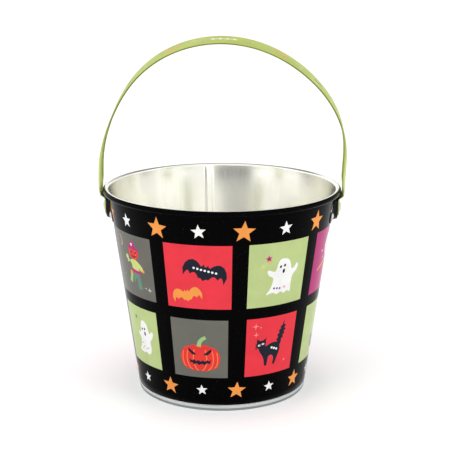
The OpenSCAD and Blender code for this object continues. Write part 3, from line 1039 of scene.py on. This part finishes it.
def strap_stations():
    """Along the strap from its right end to its left: (x, height above the pivot, half width)."""
    side = []
    for i in range(9):
        s = -END_R * math.cos(math.pi / 2 * i / 8)
        side.append((TONGUE_X, s, max(math.sqrt(max(END_R ** 2 - s * s, 0.0)), END_MIN_HALF_W)))
    side += [(TONGUE_X, TONGUE_MID, END_R), (TONGUE_X, JOGGLE_LOW - 0.5 * MM, END_R)]
    for i in range(7):
        s = JOGGLE_LOW + (JOGGLE_HIGH - JOGGLE_LOW) * i / 6
        side.append((TONGUE_X + (STRAP_X - TONGUE_X) * smoothstep(-0.15, 1.15, i / 6), s, END_R))
    for i in range(1, 13):
        s = JOGGLE_HIGH + (FULL_HEM - JOGGLE_HIGH) * i / 12
        wide = END_R + (STRAP_HALF_W - END_R) * smoothstep(JOGGLE_HIGH - 1 * MM, SHOULDER + 1 * MM, s)
        side.append((STRAP_X, s, wide))
    side += [(STRAP_X, FULL_HEM + (LEG_H - FULL_HEM) * i / 4, STRAP_HALF_W) for i in range(1, 4)]
    right = [(x + strap_set(s), s, w) for x, s, w in side]
    left = [(-x + strap_set(s), s, w) for x, s, w in side]
    turns = [math.pi * i / ARCH_STEPS for i in range(ARCH_STEPS + 1)]
    arch = [(STRAP_X * math.cos(u), LEG_H + ARCH_H * math.sin(u)) for u in turns]
    return right + [(x + strap_set(s), s, STRAP_HALF_W) for x, s in arch] + left[::-1]


def strap_world(x, y, s):
    """A point given across the pail, along the strap's width and above the pivot, in the row frame."""
    c, n = math.cos(HANDLE_LEAN), math.sin(HANDLE_LEAN)
    return Vector((x, y * c - s * n, PIVOT_Z + y * n + s * c))


def strap_section(half, sheet, hem):
    """Outline across the strap as (along its width, depth below its outer face)."""
    edge = hem / 2
    half = max(half, edge + 0.05 * MM)
    lip = min(HEM_W, half * 0.5)
    side = [(half * f, FACE_DEPTH - FACE_CROWN * (1 - f * f)) for f in (0.0, 0.35, 0.65, 0.85)]
    side += [(half - edge + edge * math.sin(math.pi * i / 8), edge - edge * math.cos(math.pi * i / 8))
             for i in range(9)]
    side += [(half - lip + 0.25 * MM, hem), (half - lip + 0.08 * MM, hem - 0.06 * MM * (hem > sheet))]
    side += [(half - lip, sheet + (hem - sheet) * 0.5), (half - lip, sheet), (half * 0.3, sheet)]
    return side + [(-v, d) for v, d in reversed(side[1:])]


def strap_normals(stations):
    """Unit vectors, in the plane across the pail, that point from the outer face inward."""
    out = []
    last = len(stations) - 1
    for i in range(last + 1):
        a, b = stations[max(i - 1, 0)], stations[min(i + 1, last)]
        dx, ds = b[0] - a[0], b[1] - a[1]
        length = math.hypot(dx, ds)
        out.append((-ds / length, dx / length))
    return out


def make_strap():
    stations = strap_stations()
    normals = strap_normals(stations)
    verts = []
    for (x, s, half), (nx, ns) in zip(stations, normals):
        foot = smoothstep(HEM_START, FULL_HEM, s)
        sheet = TONGUE_T + (WEB_T - TONGUE_T) * foot
        hem = TONGUE_T + (HEM_T - TONGUE_T) * foot
        if abs(x) < STRAP_X - 0.2 * MM and s < JOGGLE_HIGH:
            nx, ns = -math.copysign(1.0, x), 0.0
        for v, d in strap_section(half, sheet, hem):
            verts.append(strap_world(x + nx * d, v, s + ns * d))
    rows = len(verts) // len(stations)
    faces = grid_faces(len(stations), rows, tube=True)
    faces += [tuple(range(rows)), tuple(range(len(verts) - rows, len(verts)))]
    section = strap_section(STRAP_HALF_W, WEB_T, HEM_T)
    depths = [(section[i][1] + section[(i + 1) % rows][1]) / 2 for i in range(rows)]
    wide = [abs(section[i][0] + section[(i + 1) % rows][0]) / 2 for i in range(rows)]
    below = [depth > EDGE_FROM * HEM_T for depth in depths]
    # Zone 2, the hem's deep outer rounding, carries painted shade over the arch and painted light on the
    # legs
    zones = [2 if low and place > STRAP_HALF_W - HEM_T / 2 else int(low) for low, place in zip(below, wide)]
    indices = [zones[n % rows] for n in range(len(faces) - 2)] + [0, 0]
    names = ["handle_green", "handle_inside", "hem_painted_shade_and_light"]
    strap = make_object("hemmed_strap", verts, faces, names, indices, weld=1e-6)
    sharpen(strap, 60)
    return attach(strap, "handle", "handle_lacquer", "strap_handle")


PRINT_REACH = 84.0
PRINT_HALF_W = 8.5
PRINT_STEP = 1.5


def strap_print():
    """Motifs printed on the strap's outer face: a row of stars at the top, bats and stars beside it."""
    shapes = [("white", star(-7.0 + 4.8 * i, 1.0, 2.6)) for i in range(4)]
    shapes += [("white", ellipse(-4.6 + 4.8 * i, 1.0, 0.7, 0.7, 0, 12)) for i in range(3)]
    for side, place in ((-1, 36.0), (1, 41.0)):
        shapes += placed(bat("orange"), side * place, 0.4, side * 6, 0.34)
        shapes.append(("orange", star(side * (place - 5), 3.8, 1.8, 10)))
        shapes += placed(bat("navy"), side * 72, 0.6, side * 8, 0.26)
        shapes.append(("pale", star(side * 56, -1.0, 2.0, -10)))
        shapes.append(("pale", star(side * 20, 1.4, 1.6, 14)))
    return shapes


def make_strap_print():
    """The strap's print, as a skin laid on the outer face of the arch."""
    stations = strap_stations()
    normals = strap_normals(stations)
    run = [0.0]
    for a, b in zip(stations, stations[1:]):
        run.append(run[-1] + math.hypot(b[0] - a[0], b[1] - a[1]))
    run = [(r - run[-1] / 2) for r in run]
    reach, half = PRINT_REACH, PRINT_HALF_W
    border = with_short_edges([(-reach, -half), (reach, -half), (reach, half), (-reach, half)], PRINT_STEP)
    columns = range(1, int(2 * reach / PRINT_STEP))
    loose = [(-reach + PRINT_STEP * i, -8 + 2 * j) for i in columns for j in range(1, 8)]
    flat, faces, inks = triangulated(strap_print(), loose, border, 1.2)
    keep = [i for i, ink in enumerate(inks) if ink]
    names = sorted({inks[i] for i in keep})
    verts = []
    for along, v in flat:
        at = -along * MM
        x, s = (np.interp(at, run, [p[k] for p in stations]) for k in (0, 1))
        nx, ns = (np.interp(at, run, [n[k] for n in normals]) for k in (0, 1))
        crown = FACE_CROWN * (1 - (v * MM / STRAP_HALF_W) ** 2) + PRINT_LIFT - FACE_DEPTH
        verts.append(strap_world(x - nx * crown, v * MM, s - ns * crown))
    used = sorted({i for f in keep for i in faces[f]})
    order = {old: new for new, old in enumerate(used)}
    kept_faces = [tuple(order[i] for i in faces[f]) for f in keep]
    indices = [names.index(inks[f]) for f in keep]
    skin = make_object("strap_artwork", [verts[i] for i in used], kept_faces, names, indices)
    return attach(skin, "handle", "handle_lacquer")


# --- stage, light and camera


def make_stage():
    """A pale flat floor: one wide disc, a hair below the foot."""
    material, tree, shader = new_material("pale_floor", (0.96, 0.96, 0.96, 1), 0.85)
    tone = ramp(tree, noise(tree, place_vector(tree), 3.0, 2.0), 0.0, 1.0)
    mixed = blend_colours(tree, tone, (0.95, 0.95, 0.95, 1), (0.97, 0.97, 0.97, 1))
    set_inputs(tree, shader, {"Base Color": mixed, "Specular IOR Level": 0.1})
    MATERIALS["pale_floor"] = material
    verts, faces = lathe([(0.0, 0.0), (0.3, 0.0), (1.0, 0.0), (3.0, 0.0)], even_azimuths(96))
    floor = make_object("floor", verts, faces, ["pale_floor"], weld=1e-6)
    floor.location.z = -0.05 * MM


def add_softbox(name, place, aim, size, power):
    """A soft light that mirrors don't show: places and size in metres, power in watts."""
    data = bpy.data.lights.new(name, "AREA")
    data.shape = "RECTANGLE"
    data.size, data.size_y = size
    data.energy = power
    light = bpy.data.objects.new(name, data)
    light.location = place
    light.rotation_mode = "QUATERNION"
    light.rotation_quaternion = (Vector(aim) - Vector(place)).to_track_quat("-Z", "Y")
    light.visible_glossy = False
    bpy.context.scene.collection.objects.link(light)


LIGHT_AIM = (0, 0, 0.1)

# Strength of the light tent's walls by azimuth in degrees, 0 in front and positive towards +X
TENT = [(-180, 1.0), (-166, 1.2), (-150, 1.4), (-104, 1.35), (-92, 1.55), (-72, 1.5), (-60, 1.35),
        (-46, 1.55), (-37, 1.5), (-31, 0.85), (-27, 0.2), (4, 0.2), (8, 0.3), (12, 1.6), (16, 1.6),
        (20, 1.05), (32, 1.1), (40, 1.25), (62, 1.2), (74, 1.05), (84, 1.15), (98, 1.3), (118, 1.05),
        (128, 0.6), (170, 0.6), (180, 0.7)]
TENT_PEAK = 1.6
# Strength seen by glossy surfaces: the ceiling behind and in front, and the least high up in front
CEILING_BEHIND, CEILING_FRONT = 0.25, 1.2
FRONT_ABOVE = 1.3
# Between these sines of elevation the high front begins, the low back ends and the ceiling begins
FRONT_RISE, BACK_FALL, CEILING_RISE = (0.14, 0.2), (0.19, 0.26), (0.46, 0.58)
# Strength seen by matt surfaces, and by the camera
ROOM = 1.14
BACKDROP = 1.05


def tent_strength(tree, direction):
    """Bright walls with a dim card in front, a dimmer part behind and a dim ceiling behind."""
    x, y, z = (add_node(tree, "SeparateXYZ", axis, {"Vector": direction}) for axis in "XYZ")
    turn = maths(tree, "ARCTAN2", x, maths(tree, "MULTIPLY", y, -1.0))
    place = maths(tree, "ADD", maths(tree, "DIVIDE", turn, 2 * math.pi), 0.5)
    walls = tree.nodes.new("ShaderNodeValToRGB")
    stops = walls.color_ramp.elements
    while len(stops) < len(TENT):
        stops.new(0.5)
    for stop, (azimuth, strength) in zip(stops, TENT):
        stop.position = (azimuth + 180) / 360
        stop.color = (strength / TENT_PEAK,) * 3 + (1.0,)
    set_inputs(tree, walls, {"Fac": place})
    ring = maths(tree, "MULTIPLY", walls.outputs["Color"], TENT_PEAK)
    behind = ramp(tree, y, 0.0, 1.0, 0.0, 0.25)
    in_front = maths(tree, "SUBTRACT", 1.0, behind)
    above = maths(tree, "MULTIPLY", ramp(tree, z, 0.0, 1.0, *FRONT_RISE), in_front)
    ring = between(tree, above, ring, maths(tree, "MAXIMUM", ring, FRONT_ABOVE))
    low = ramp(tree, z, 1.0, 0.0, *BACK_FALL)
    high = ramp(tree, z, 0.0, 1.0, *CEILING_RISE)
    ring = between(tree, maths(tree, "MULTIPLY", behind, low), ring, ROOM)
    return between(tree, high, ring, between(tree, behind, CEILING_FRONT, CEILING_BEHIND))


def make_world():
    """White surroundings for the eye, even light for matt surfaces, a light tent for glossy ones."""
    world = bpy.data.worlds.new("studio")
    world.use_nodes = True
    tree = world.node_tree
    tree.nodes.clear()
    glossy, seen = (add_node(tree, "LightPath", ray, {}) for ray in ("Is Glossy Ray", "Is Camera Ray"))
    tent = tent_strength(tree, add_node(tree, "TexCoord", "Generated", {}))
    strength = between(tree, seen, between(tree, glossy, ROOM, tent), BACKDROP)
    light = add_node(tree, "Background", "Background", {"Color": (1, 1, 1, 1), "Strength": strength})
    set_inputs(tree, tree.nodes.new("ShaderNodeOutputWorld"), {"Surface": light})
    bpy.context.scene.world = world


CAMERA_DISTANCE = 852.8 * MM
CAMERA_HEIGHT = 325.0 * MM
CAMERA_PITCH = math.radians(13.84)
CAMERA_AZIMUTH = math.radians(1.69)
CAMERA_LENS, SENSOR_WIDTH = 100.4, 36.0
CAMERA_SHIFT = 0.0068


def make_camera():
    data = bpy.data.cameras.new("camera")
    data.lens = CAMERA_LENS
    data.sensor_width = SENSOR_WIDTH
    data.shift_x = CAMERA_SHIFT
    data.clip_start, data.clip_end = 0.05, 20
    camera = bpy.data.objects.new("camera", data)
    out = Vector((math.sin(CAMERA_AZIMUTH), -math.cos(CAMERA_AZIMUTH), 0)) * CAMERA_DISTANCE
    camera.location = out + Vector((0, 0, CAMERA_HEIGHT))
    camera.rotation_euler = (math.pi / 2 - CAMERA_PITCH, 0, CAMERA_AZIMUTH)
    bpy.context.scene.collection.objects.link(camera)
    bpy.context.scene.camera = camera


make_camera()
make_pail_wall()
make_base()
make_fittings()
make_strap()
make_strap_print()
make_stage()
make_world()
add_softbox("key", (-0.9, -0.9, 1.3), LIGHT_AIM, (0.9, 0.9), 5)
add_softbox("fill", (1.1, -0.7, 0.9), LIGHT_AIM, (0.8, 1.1), 3)
bpy.context.scene.view_settings.view_transform = "Standard"
bpy.context.scene.view_settings.look = "None"
